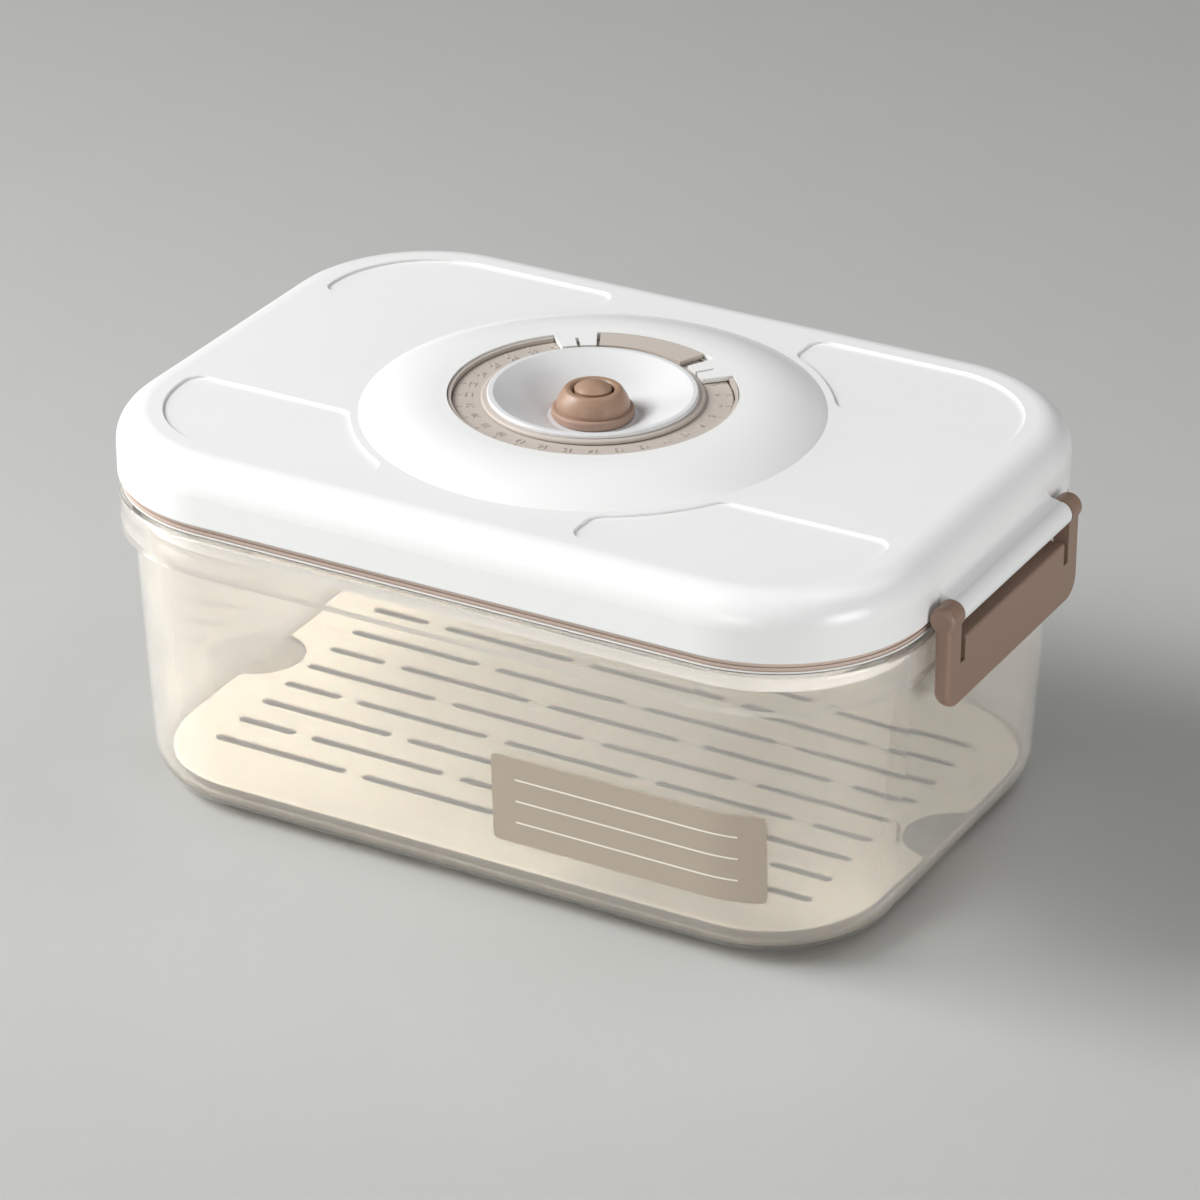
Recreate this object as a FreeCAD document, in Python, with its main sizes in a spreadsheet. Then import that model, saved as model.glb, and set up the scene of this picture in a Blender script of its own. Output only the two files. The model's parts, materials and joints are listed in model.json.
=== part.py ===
import FreeCAD, Part
import math
import os
import types

import Sketcher

# Vacuum seal canister: a clear tub with a drain tray, and a lid with a gasket, a date dial, a pump bowl with
# its valve, and a latch at each end. X runs along the length, Y to the back, Z up from the table.

# Driving sizes in millimetres, angles in degrees counted from +X round the dial.
SIZES = {
    "lid_length": 270.0,
    "lid_width": 188.0,
    "lid_corner": 50.0,
    "lid_skirt": 20.0,
    "lid_wall": 2.6,
    "lid_edge_round": 10.0,
    "lid_foot_round": 0.8,
    "rise_radius": 71.5,
    "rise_run": 11.5,
    "rise_height": 5.5,
    "rise_round": 48.0,
    "pad_margin": 14.5,
    "pad_line": 37.2,
    "pad_circle": 74.0,
    "pad_gap": 71.0,
    "pad_depth": 0.8,
    "pad_round": 5.5,
    "tub_height": 99.6,
    "tub_wall": 2.4,
    "tub_floor": 3.0,
    "tub_draft": 4.8,
    "tub_base_round": 13.0,
    "rim_inset": 0.2,
    "rim_band": 12.0,
    "rim_step": 3.4,
    "rim_round": 0.8,
    "tray_gap": 2.8,
    "tray_plate": 2.2,
    "tray_leg": 4.2,
    "tray_leg_wall": 2.0,
    "tray_leg_inset": 9.0,
    "tray_edge_round": 1.0,
    "tray_seat_gap": 0.3,
    "slot_length": 48.0,
    "slot_width": 4.0,
    "slot_bridge": 6.0,
    "slot_row_pitch": 13.65,
    "slot_margin": 4.0,
    "notch_radius": 16.0,
    "notch_offset": 3.0,
    "gasket_inset": 1.2,
    "gasket_band": 3.9,
    "gasket_groove": 0.5,
    "gasket_lip_width": 3.9,
    "gasket_lip_gap": 0.3,
    "gasket_round": 0.5,
    "shadow_gap": 1.0,
    "panel_fit": 0.2,
    "panel_plate": 2.4,
    "plug_depth": 12.0,
    "plug_wall": 2.0,
    "plug_clearance": 1.5,
    "drum_wall": 2.0,
    "turret_radius": 31.6,
    "turret_wall": 2.0,
    "bowl_proud": 0.7,
    "bowl_depth": 8.3,
    "bowl_floor_radius": 14.0,
    "bowl_floor": 2.0,
    "bowl_rim_width": 1.8,
    "bowl_rim_lip": 0.7,
    "bowl_rim_height": 1.2,
    "bowl_rim_round": 0.5,
    "dial_opening": 44.5,
    "dial_fit": 0.3,
    "well_wall": 1.0,
    "well_floor": 1.5,
    "well_lip_drop": 0.6,
    "well_notch_angle": 0.6,
    "ring_thickness": 4.5,
    "ring_clearance": 0.4,
    "ring_round": 0.5,
    "cover_gap": 0.3,
    "tab_thickness": 1.6,
    "tab_inner_radius": 34.8,
    "tab_sweep_angle": 17.5,
    "tab_right_angle": 45.0,
    "tab_left_angle": 117.5,
    "tab_slit_width": 1.2,
    "tab_slit_length": 6.0,
    "bridge_start_angle": 69.0,
    "bridge_sweep_angle": 47.0,
    "retainer_radius": 34.2,
    "retainer_fit": 0.1,
    "retainer_round": 0.6,
    "flap_radius": 12.8,
    "flap_height": 2.9,
    "flap_round": 0.8,
    "vent_radius": 1.2,
    "vent_circle": 9.0,
    "collar_radius": 11.3,
    "collar_height": 6.2,
    "collar_top_radius": 8.6,
    "collar_opening": 6.4,
    "collar_band": 1.2,
    "collar_round": 1.2,
    "collar_web": 1.4,
    "neck_radius": 5.2,
    "neck_bore": 3.5,
    "neck_foot": 1.4,
    "barb_reach": 0.6,
    "barb_height": 1.2,
    "neck_fit": 0.1,
    "button_radius": 5.7,
    "button_skirt": 3.0,
    "button_travel": 1.5,
    "button_dome": 2.1,
    "button_clearance": 0.3,
    "stem_radius": 1.5,
    "stem_fit": 0.08,
    "seal_radius": 4.6,
    "seal_height": 1.3,
    "seal_gap": 0.2,
    "clip_radius": 3.0,
    "clip_height": 0.9,
    "stem_tail": 0.6,
    "spring_radius": 2.7,
    "spring_wire": 0.5,
    "spring_turns": 4.0,
    "spring_seat_gap": 0.05,
    "hinge_out": 4.5,
    "hinge_up": 1.9,
    "bar_radius": 4.0,
    "bar_under": 1.8,
    "bar_length": 74.0,
    "bar_ramp": 1.2,
    "bar_blend": 2.0,
    "peg_radius": 1.0,
    "peg_length": 5.0,
    "peg_fit": 0.08,
    "ear_width": 7.6,
    "latch_gap": 0.4,
    "latch_thickness": 5.0,
    "latch_face_out": 3.1,
    "latch_drop": 29.4,
    "knuckle_radius": 4.1,
    "flap_top_drop": 8.4,
    "flap_notch_width": 3.0,
    "flap_notch_depth": 7.5,
    "latch_corner": 7.0,
    "latch_toe_width": 3.0,
    "latch_toe_height": 6.0,
    "latch_round": 1.4,
    "neck_round": 2.4,
    "flap_edge_round": 0.8,
    "hook_length": 60.0,
    "hook_reach": 1.6,
    "hook_gap": 0.3,
    "hook_nose": 2.0,
    "hook_foot": 8.0,
}

# Counts of what repeats.
VENT_COUNT = 6
COIL_STEPS_PER_TURN = 4
COIL_SAMPLES_PER_TURN = 24

# Depth that a cutting tool runs past the faces it cuts.
CUT_MARGIN = 5.0

# How close two places, or the cosine of two directions, are to count as the same.
SAME_PLACE = 1e-4
SAME_DIRECTION = 0.99


class Size:
    """A length that knows its value and the formula that ties it to the sheet."""

    def __init__(self, value, text):
        self.value = value
        self.text = text

    @staticmethod
    def of(other):
        if isinstance(other, Size):
            return other
        return Size(float(other), repr(float(other)))

    def __add__(self, other):
        other = Size.of(other)
        return Size(self.value + other.value, f"({self.text} + {other.text})")

    def __radd__(self, other):
        return Size.of(other) + self

    def __sub__(self, other):
        other = Size.of(other)
        return Size(self.value - other.value, f"({self.text} - {other.text})")

    def __rsub__(self, other):
        return Size.of(other) - self

    def __mul__(self, other):
        other = Size.of(other)
        return Size(self.value * other.value, f"({self.text} * {other.text})")

    def __rmul__(self, other):
        return Size.of(other) * self

    def __truediv__(self, other):
        other = Size.of(other)
        return Size(self.value / other.value, f"({self.text} / {other.text})")

    def __neg__(self):
        return Size(-self.value, f"(-1 * {self.text})")


doc = FreeCAD.newDocument("VacuumCanister")
sheet = doc.addObject("Spreadsheet::Sheet", "Sizes")
for row, (alias, number) in enumerate(SIZES.items(), start=1):
    sheet.set(f"A{row}", alias.replace("_", " "))
    sheet.set(f"B{row}", str(number))
    sheet.setAlias(f"B{row}", alias)
doc.recompute()
dim = types.SimpleNamespace(**{name: Size(number, f"Sizes.{name}") for name, number in SIZES.items()})

# Levels and outlines that several pieces share.
rim_top = dim.tub_height
lid_bottom = rim_top + dim.shadow_gap + dim.gasket_band
lid_top = lid_bottom + dim.lid_skirt
dial_edge = lid_top + dim.rise_height
cover_under = dial_edge - dim.tab_thickness
ring_top = cover_under - dim.cover_gap
ring_bottom = ring_top - dim.ring_thickness
well_floor_top = ring_bottom - dim.ring_clearance
drum_top = well_floor_top - dim.well_floor
bowl_rim = dial_edge + dim.bowl_proud
rim_under = bowl_rim - dim.bowl_rim_height
bowl_floor_top = bowl_rim - dim.bowl_depth
bowl_under = bowl_floor_top - dim.bowl_floor
flap_top = bowl_floor_top + dim.flap_height
collar_top = flap_top + dim.collar_height
collar_floor = flap_top + dim.collar_web
neck_bottom = bowl_under - dim.barb_height
button_bottom = collar_floor + dim.button_travel + dim.button_clearance
seal_top = neck_bottom - dim.seal_gap
stem_bottom = seal_top - dim.seal_height - dim.clip_height - dim.stem_tail
wall_inset = dim.rim_inset + dim.rim_step
mouth_inset = wall_inset + dim.tub_wall
floor_inset = mouth_inset + dim.tub_draft * (dim.tub_height - dim.tub_floor) / dim.tub_height
plug_inset = mouth_inset + dim.plug_clearance
hinge_x = dim.lid_length / 2 + dim.hinge_out
hinge_z = lid_bottom + dim.hinge_up
ear_inside = dim.bar_length / 2 + dim.latch_gap
ear_outside = ear_inside + dim.ear_width
well_outside = dim.dial_opening - dim.dial_fit
well_inside = dim.turret_radius + dim.dial_fit


def new_body(name):
    return doc.addObject("PartDesign::Body", name)


class Drawing:
    """Sketch on an origin plane of a body, with its dimensions bound to the sheet."""

    def __init__(self, body, name, plane="XY_Plane", offset=0.0):
        self.sketch = body.newObject("Sketcher::SketchObject", name)
        support = next(item for item in body.Origin.OriginFeatures if item.Role == plane)
        self.sketch.AttachmentSupport = [(support, "")]
        self.sketch.MapMode = "FlatFace"
        self.sketch.setExpression("AttachmentOffset.Base.z", Size.of(offset).text)
        self.curves = []
        self.ties = []
        self.measures = {}

    def line(self, start, end):
        self.curves.append(Part.LineSegment(FreeCAD.Vector(*start), FreeCAD.Vector(*end)))

    def arc(self, centre, radius, start, end):
        whole = Part.Circle(FreeCAD.Vector(*centre), FreeCAD.Vector(0, 0, 1), radius)
        self.curves.append(Part.ArcOfCircle(whole, start, end))

    def tie(self, kind, *where):
        self.ties.append(Sketcher.Constraint(kind, *where))

    def measure(self, kind, *where, size):
        size = Size.of(size)
        self.measures[len(self.ties)] = size
        self.ties.append(Sketcher.Constraint(kind, *where, size.value))

    def finish(self):
        """Put the curves and dimensions into the sketch, all at once."""
        self.sketch.addGeometry(self.curves)
        self.sketch.addConstraint(self.ties)
        for index, size in self.measures.items():
            name = f"size{index}"
            self.sketch.renameConstraint(index, name)
            self.sketch.setExpression(f"Constraints.{name}", size.text)
        return self.sketch

    def rounded_rectangle(self, inset):
        """The lid's outline, set in on all sides."""
        inset = Size.of(inset)
        length = dim.lid_length - 2 * inset
        width = dim.lid_width - 2 * inset
        corner = dim.lid_corner - inset
        x, y, r = length.value / 2, width.value / 2, corner.value
        first = len(self.curves)
        sides = [((-x + r, -y), (x - r, -y)), ((x, -y + r), (x, y - r)),
                 ((x - r, y), (-x + r, y)), ((-x, y - r), (-x, -y + r))]
        centres = [(x - r, -y + r), (x - r, y - r), (-x + r, y - r), (-x + r, -y + r)]
        for quarter, ((start, end), centre) in enumerate(zip(sides, centres)):
            self.line(start, end)
            self.arc(centre, r, (quarter - 1) * math.pi / 2, quarter * math.pi / 2)
        front, right, back, left = range(first, first + 8, 2)
        for k in range(8):
            self.tie("Tangent", first + k, 2, first + (k + 1) % 8, 1)
        for arc in range(first + 3, first + 8, 2):
            self.tie("Equal", first + 1, arc)
        for side, kind in ((front, "Horizontal"), (back, "Horizontal"), (right, "Vertical"), (left, "Vertical")):
            self.tie(kind, side)
        self.tie("Symmetric", front, 1, back, 1, -1, 1)
        self.measure("DistanceX", left, 1, right, 1, size=length)
        self.measure("DistanceY", front, 1, back, 1, size=width)
        self.measure("Radius", first + 1, size=corner)
        return self

    def outline(self, corners, arcs=()):
        """Closed run of lines between bound corners. An edge in arcs is round about a centre on the Y axis."""
        corners = [(Size.of(x), Size.of(y)) for x, y in corners]
        first, count = len(self.curves), len(corners)
        for k, ((x0, y0), (x1, y1)) in enumerate(zip(corners, corners[1:] + corners[:1])):
            start, end = (x0.value, y0.value), (x1.value, y1.value)
            if k in arcs:
                level = (end[0] ** 2 - start[0] ** 2 + end[1] ** 2 - start[1] ** 2) / (2 * (end[1] - start[1]))
                angles = [math.atan2(y - level, x) for x, y in (start, end)]
                self.arc((0, level), math.hypot(start[0], start[1] - level), *angles)
                self.measure("DistanceX", first + k, 3, size=0)
            else:
                self.line(start, end)
        for k, (x, y) in enumerate(corners):
            self.tie("Coincident", first + k, 2, first + (k + 1) % count, 1)
            self.measure("DistanceX", first + k, 1, size=x)
            self.measure("DistanceY", first + k, 1, size=y)
        return self

    def circle(self, radius, x=0.0, y=0.0):
        radius, x, y = Size.of(radius), Size.of(x), Size.of(y)
        index = len(self.curves)
        self.curves.append(Part.Circle(FreeCAD.Vector(x.value, y.value), FreeCAD.Vector(0, 0, 1), radius.value))
        self.measure("DistanceX", index, 3, size=x)
        self.measure("DistanceY", index, 3, size=y)
        self.measure("Radius", index, size=radius)
        return self

    def slot(self, x, y, length, width):
        """Round-ended slot along X about a middle point."""
        x, y, radius = Size.of(x), Size.of(y), width / 2
        reach = length / 2 - radius
        left, right, r = (x - reach).value, (x + reach).value, radius.value
        low, high = y.value - r, y.value + r
        first = len(self.curves)
        self.line((left, low), (right, low))
        self.arc((right, y.value), r, -math.pi / 2, math.pi / 2)
        self.line((right, high), (left, high))
        self.arc((left, y.value), r, math.pi / 2, 3 * math.pi / 2)
        for k in range(4):
            self.tie("Tangent", first + k, 2, first + (k + 1) % 4, 1)
        self.measure("DistanceX", first + 1, 3, size=x + reach)
        self.measure("DistanceY", first + 1, 3, size=y)
        self.measure("DistanceX", first + 3, 3, size=x - reach)
        self.measure("DistanceY", first + 3, 3, size=y)
        self.measure("Radius", first + 1, size=radius)
        return self


def extrude(kind, body, drawing, length, both_ways=False, reverse=False):
    """Pad or pocket a drawing by a length."""
    sketch = drawing.finish()
    feature = body.newObject(f"PartDesign::{kind}", f"{sketch.Name}_{kind}")
    feature.Profile = sketch
    feature.setExpression("Length", Size.of(length).text)
    feature.Midplane = both_ways
    feature.Reversed = reverse
    doc.recompute()
    return feature


def turn(kind, body, drawing):
    """Revolution or groove of a drawing on the XZ plane about the Z axis."""
    sketch = drawing.finish()
    feature = body.newObject(f"PartDesign::{kind}", f"{sketch.Name}_{kind}")
    feature.Profile = sketch
    feature.ReferenceAxis = (sketch, ["V_Axis"])
    feature.Angle = 360.0
    doc.recompute()
    return feature


def turned(name, corners, arcs=()):
    """Body turned about the Z axis from a closed profile of radius and height."""
    body = new_body(name)
    turn("Revolution", body, Drawing(body, f"{name}_profile", "XZ_Plane").outline(corners, arcs))
    return body


def edges_where(shape, test):
    """Names of the edges whose two ends and middle all pass the test."""
    names = []
    for number, edge in enumerate(shape.Edges, start=1):
        low, high = edge.ParameterRange
        points = [edge.valueAt(low), edge.valueAt((low + high) / 2), edge.valueAt(high)]
        if all(test(point) for point in points):
            names.append(f"Edge{number}")
    return names


def round_edges(body, radius, test):
    """Fillet the edges of a body that pass the test."""
    base = body.Tip
    feature = body.newObject("PartDesign::Fillet", f"{body.Name}_round")
    feature.Base = (base, edges_where(base.Shape, test))
    feature.setExpression("Radius", radius.text)
    doc.recompute()
    return feature


def at_height(size):
    level = Size.of(size).value
    return lambda point: abs(point.z - level) < SAME_PLACE


def at_height_between(low, high):
    return lambda point: low.value < point.z < high.value


def solid_of(kind, name, **sizes):
    """Part primitive with its sizes bound to the sheet."""
    solid = doc.addObject(f"Part::{kind}", name)
    for key, size in sizes.items():
        solid.setExpression(key, Size.of(size).text)
    return solid


def cylinder(name, radius, bottom, height):
    solid = solid_of("Cylinder", name, Radius=radius, Height=height)
    solid.setExpression("Placement.Base.z", Size.of(bottom).text)
    return solid


def block(name, length, width, bottom, height):
    """Block centred on the Z axis."""
    solid = solid_of("Box", name, Length=length, Width=width, Height=height)
    solid.setExpression("Placement.Base.x", (length / -2).text)
    solid.setExpression("Placement.Base.y", (width / -2).text)
    solid.setExpression("Placement.Base.z", bottom.text)
    return solid


def turn_about_z(solid, angle):
    """Bind a solid's turn about the Z axis to the sheet."""
    solid.Placement.Rotation = FreeCAD.Rotation(FreeCAD.Vector(0, 0, 1), angle.value)
    solid.setExpression("Placement.Rotation.Angle", angle.text)


def cut(name, base, *tools):
    """Take the tools away from the base, one after another."""
    for number, tool in enumerate(tools, start=1):
        result = doc.addObject("Part::Cut", name if number == len(tools) else f"{name}_step{number}")
        result.Base = base
        result.Tool = tool
        base = result
    doc.recompute()
    return base


def arc_block(name, inner, outer, bottom, height, start, sweep):
    """Piece of a flat ring between two angles."""
    sector = cylinder(f"{name}_sector", outer, bottom, height)
    sector.setExpression("Angle", sweep.text)
    turn_about_z(sector, start)
    core = cylinder(f"{name}_core", inner, bottom - CUT_MARGIN, height + 2 * CUT_MARGIN)
    return cut(name, sector, core)


nodes = {}


def drafted_block(name, inset, bottom, base_round):
    """Block as deep as the tub, with drafted sides and a rounded base edge."""
    body = new_body(name)
    sides = extrude("Pad", body, Drawing(body, f"{name}_outline", offset=rim_top).rounded_rectangle(inset),
                    rim_top - bottom, reverse=True)
    sides.setExpression("TaperAngle", f"-1 * atan({dim.tub_draft.text} / {dim.tub_height.text})")
    doc.recompute()
    round_edges(body, base_round, at_height(bottom))
    return body


def make_tub():
    """Clear tub: drafted walls with a rounded base edge, and a thicker band round the rim."""
    body = drafted_block("tub_block", wall_inset, Size.of(0), dim.tub_base_round)
    extrude("Pad", body, Drawing(body, "tub_band", offset=rim_top).rounded_rectangle(dim.rim_inset),
            dim.rim_band, reverse=True)
    round_edges(body, dim.rim_round, at_height(rim_top))
    hollow = drafted_block("tub_hollow", mouth_inset, dim.tub_floor, dim.tub_base_round - dim.tub_wall)
    nodes["tub"] = cut("tub_solid", body, hollow)


def make_drain_tray():
    """Perforated plate on a ring of leg wall, with brick-laid slots and a finger notch at each end."""
    tray_inset = floor_inset + dim.tray_gap
    leg_bottom = dim.tub_floor + dim.tray_seat_gap
    plate_bottom = leg_bottom + dim.tray_leg
    plate_top = plate_bottom + dim.tray_plate
    leg_inset = tray_inset + dim.tray_leg_inset
    body = new_body("tray_body")
    extrude("Pad", body, Drawing(body, "tray_plate", offset=plate_bottom).rounded_rectangle(tray_inset),
            dim.tray_plate)
    round_edges(body, dim.tray_edge_round, at_height(plate_top))
    legs = Drawing(body, "tray_legs", offset=plate_bottom)
    legs.rounded_rectangle(leg_inset)
    legs.rounded_rectangle(leg_inset + dim.tray_leg_wall)
    extrude("Pad", body, legs, dim.tray_leg, reverse=True)

    field_inset = leg_inset + dim.tray_leg_wall + dim.slot_margin
    pitch = dim.slot_length + dim.slot_bridge
    columns = int(((dim.lid_length - 2 * field_inset + dim.slot_bridge) / pitch).value)
    rows_each_side = int(((dim.lid_width / 2 - field_inset) / dim.slot_row_pitch).value)
    short_length = (dim.slot_length - dim.slot_bridge) / 2
    for shifted in (0, 1):
        rows = [row for row in range(-rows_each_side, rows_each_side + 1) if row % 2 == shifted]
        y = rows[0] * dim.slot_row_pitch
        drawing = Drawing(body, f"tray_slots_{shifted}", offset=plate_top)
        longs = columns - shifted
        for place in range(longs):
            drawing.slot((place - (longs - 1) / 2) * pitch, y, dim.slot_length, dim.slot_width)
        if shifted:
            end = (longs * pitch + dim.slot_bridge + short_length) / 2
            drawing.slot(end, y, short_length, dim.slot_width)
            drawing.slot(-end, y, short_length, dim.slot_width)
        row_cut = extrude("Pocket", body, drawing, dim.tray_plate + CUT_MARGIN)
        pattern = body.newObject("PartDesign::LinearPattern", f"tray_slot_rows_{shifted}")
        pattern.Originals = [row_cut]
        pattern.Direction = (drawing.sketch, ["V_Axis"])
        pattern.setExpression("Length", (2 * (len(rows) - 1) * dim.slot_row_pitch).text)
        pattern.Occurrences = len(rows)
        body.Tip = pattern
        doc.recompute()

    notch_x = dim.lid_length / 2 - tray_inset + dim.notch_offset
    notches = Drawing(body, "tray_notches", offset=plate_top)
    notches.circle(dim.notch_radius, notch_x)
    notches.circle(dim.notch_radius, -notch_x)
    extrude("Pocket", body, notches, dim.tray_plate + dim.tray_leg + CUT_MARGIN)
    nodes["drain_tray"] = body


def lid_block(name, inset, drop, edge_round):
    """Block with the lid's outline, flat top and raised middle, set in from its sides and lowered from its top."""
    inset, drop = Size.of(inset), Size.of(drop)
    flat, peak = lid_top - drop, dial_edge - drop
    body = new_body(name)
    extrude("Pad", body, Drawing(body, f"{name}_outline", offset=lid_bottom).rounded_rectangle(inset),
            dim.lid_skirt - drop)
    round_edges(body, edge_round, at_height(flat))
    turn("Revolution", body, Drawing(body, f"{name}_rise", "XZ_Plane").outline(
        [(0, flat - dim.lid_wall), (dim.rise_radius, flat - dim.lid_wall), (dim.rise_radius, flat),
         (dim.rise_radius - dim.rise_run, peak), (0, peak)]))
    round_edges(body, dim.rise_round, at_height(peak))
    return body


def make_lid_cover():
    """White shell of the lid: flat top with corner pads, a raised middle, index tabs and two hinge bars."""
    body = lid_block("cover_block", 0, 0, dim.lid_edge_round)
    round_edges(body, dim.lid_foot_round, at_height(lid_bottom))
    lid_end = dim.lid_length / 2
    root = lid_end - dim.gasket_inset / 2
    bar_low, bar_high = hinge_z - dim.bar_under, hinge_z + dim.bar_radius
    bar_out = hinge_x + dim.bar_radius + CUT_MARGIN
    bars = Drawing(body, "hinge_bars", "XZ_Plane")
    rounds = Drawing(body, "hinge_rounds", "XZ_Plane")
    flats = Drawing(body, "hinge_flats", "XZ_Plane")
    bores = Drawing(body, "hinge_bores", "XZ_Plane")
    for side in (1, -1):
        bars.outline([(side * root, bar_low), (side * hinge_x, bar_low),
                      (side * hinge_x, bar_high), (side * root, bar_high + dim.bar_ramp)])
        rounds.circle(dim.bar_radius, side * hinge_x, hinge_z)
        flats.outline([(side * lid_end, bar_low), (side * bar_out, bar_low),
                       (side * bar_out, bar_low - dim.bar_radius), (side * lid_end, bar_low - dim.bar_radius)])
        bores.circle(dim.peg_radius + dim.peg_fit, side * hinge_x, hinge_z)
    extrude("Pad", body, bars, dim.bar_length, both_ways=True)
    extrude("Pad", body, rounds, dim.bar_length, both_ways=True)
    extrude("Pocket", body, flats, dim.bar_length + CUT_MARGIN, both_ways=True)
    round_edges(body, dim.bar_blend, lambda point: abs(abs(point.x) - lid_end.value) < SAME_PLACE
                and at_height_between(bar_high, bar_high + dim.bar_ramp)(point))
    extrude("Pocket", body, bores, dim.bar_length + CUT_MARGIN, both_ways=True)
    extrude("Pocket", body, Drawing(body, "dial_hole", offset=dial_edge).circle(dim.dial_opening),
            dim.lid_skirt + dim.rise_height + CUT_MARGIN)

    cavity = lid_block("cover_cavity", dim.lid_wall, dim.lid_wall, dim.lid_edge_round - dim.lid_wall)
    shell = cut("cover_shell", body, cavity, pad_cutters())
    cover = doc.addObject("Part::MultiFuse", "lid_cover_solid")
    cover.Shapes = [shell, index_tab("index_tab_right", dim.tab_right_angle),
                    index_tab("index_tab_left", dim.tab_left_angle)]
    cover.Refine = True
    nodes["lid_cover"] = cover


def pad_cutters():
    """What the four shallow corner pads take out of the lid's flat top."""
    bottom = lid_top - dim.pad_depth
    height = dim.pad_depth + CUT_MARGIN
    tool_bottom, tool_height = bottom - CUT_MARGIN, height + 2 * CUT_MARGIN
    field = new_body("pad_field")
    extrude("Pad", field, Drawing(field, "pad_outline", offset=bottom).rounded_rectangle(dim.pad_margin), height)
    prisms = cut("pad_prisms", field, cylinder("pad_circle_tool", dim.pad_circle, tool_bottom, tool_height),
                 block("pad_line_tool", dim.lid_length, 2 * dim.pad_line, tool_bottom, tool_height),
                 block("pad_gap_tool", dim.pad_gap, dim.lid_width, tool_bottom, tool_height))
    soft = doc.addObject("Part::Fillet", "pad_cutters")
    soft.Base = prisms
    radius = dim.pad_round.value
    soft.Edges = [(number, radius, radius) for number, edge in enumerate(prisms.Shape.Edges, start=1)
                  if upright_corner(prisms.Shape, edge)]
    doc.recompute()
    return soft


def upright_corner(shape, edge):
    """True for a vertical edge where two faces meet at an angle."""
    if abs(edge.tangentAt(edge.FirstParameter).z) < 0.5:
        return False
    point = edge.valueAt(edge.FirstParameter)
    normals = [face.normalAt(*face.Surface.parameter(point)) for face in shape.ancestorsOfType(edge, Part.Face)]
    return abs(normals[0].dot(normals[1])) < SAME_DIRECTION


def index_tab(name, start):
    """White tab that reaches over the date ring, with a reading slit from its inner edge."""
    tab = arc_block(f"{name}_blank", dim.tab_inner_radius, dim.dial_opening + dim.lid_wall / 2, cover_under,
                    dim.tab_thickness, start, dim.tab_sweep_angle)
    slit = solid_of("Box", f"{name}_slit", Length=dim.tab_slit_length + CUT_MARGIN, Width=dim.tab_slit_width,
                    Height=dim.tab_thickness + 2 * CUT_MARGIN)
    middle = start + dim.tab_sweep_angle / 2
    turn_about_z(slit, middle)
    along, across = (dim.tab_inner_radius - CUT_MARGIN).text, (dim.tab_slit_width / 2).text
    slit.setExpression("Placement.Base.x", f"{along} * cos({middle.text}) + {across} * sin({middle.text})")
    slit.setExpression("Placement.Base.y", f"{along} * sin({middle.text}) - {across} * cos({middle.text})")
    slit.setExpression("Placement.Base.z", (cover_under - CUT_MARGIN).text)
    return cut(name, tab, slit)


def make_lid_panel():
    """Inner panel of the lid: a plate, a wall that plugs the tub's mouth, and a turret with the pump bowl."""
    drum_radius = dim.dial_opening
    drum_inside = drum_radius - dim.drum_wall
    turret_inside = dim.turret_radius - dim.turret_wall
    rim_outside = dim.turret_radius + dim.bowl_rim_lip
    rim_inside = rim_outside - dim.bowl_rim_width
    slope = dim.bowl_depth / (rim_inside - dim.bowl_floor_radius)
    cone_under = bowl_under + slope * (turret_inside - dim.bowl_floor_radius)
    hole = dim.neck_radius + dim.neck_fit
    body = new_body("panel_body")
    plate = Drawing(body, "panel_plate_outline", offset=lid_bottom)
    plate.rounded_rectangle(dim.lid_wall + dim.panel_fit)
    plate.circle(drum_radius - dim.drum_wall / 2)
    extrude("Pad", body, plate, dim.panel_plate)
    plug = Drawing(body, "plug_outline", offset=lid_bottom)
    plug.rounded_rectangle(plug_inset)
    plug.rounded_rectangle(plug_inset + dim.plug_wall)
    extrude("Pad", body, plug, dim.plug_depth, reverse=True)
    turn("Revolution", body, Drawing(body, "turret", "XZ_Plane").outline(
        [(drum_inside, lid_bottom), (drum_radius, lid_bottom), (drum_radius, drum_top),
         (dim.turret_radius, drum_top), (dim.turret_radius, rim_under), (rim_outside, rim_under),
         (rim_outside, bowl_rim), (rim_inside, bowl_rim), (dim.bowl_floor_radius, bowl_floor_top),
         (hole, bowl_floor_top), (hole, bowl_under), (dim.bowl_floor_radius, bowl_under),
         (turret_inside, cone_under), (turret_inside, drum_top - dim.drum_wall),
         (drum_inside, drum_top - dim.drum_wall)]))
    round_edges(body, dim.bowl_rim_round, at_height(bowl_rim))
    vent = Drawing(body, "vent", offset=bowl_floor_top).circle(dim.vent_radius, dim.vent_circle)
    vent_cut = extrude("Pocket", body, vent, dim.bowl_floor + CUT_MARGIN)
    vents = body.newObject("PartDesign::PolarPattern", "vents")
    vents.Originals = [vent_cut]
    vents.Axis = (vent.sketch, ["N_Axis"])
    vents.Angle = 360.0
    vents.Occurrences = VENT_COUNT
    body.Tip = vents
    doc.recompute()
    nodes["lid_panel"] = body


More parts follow.
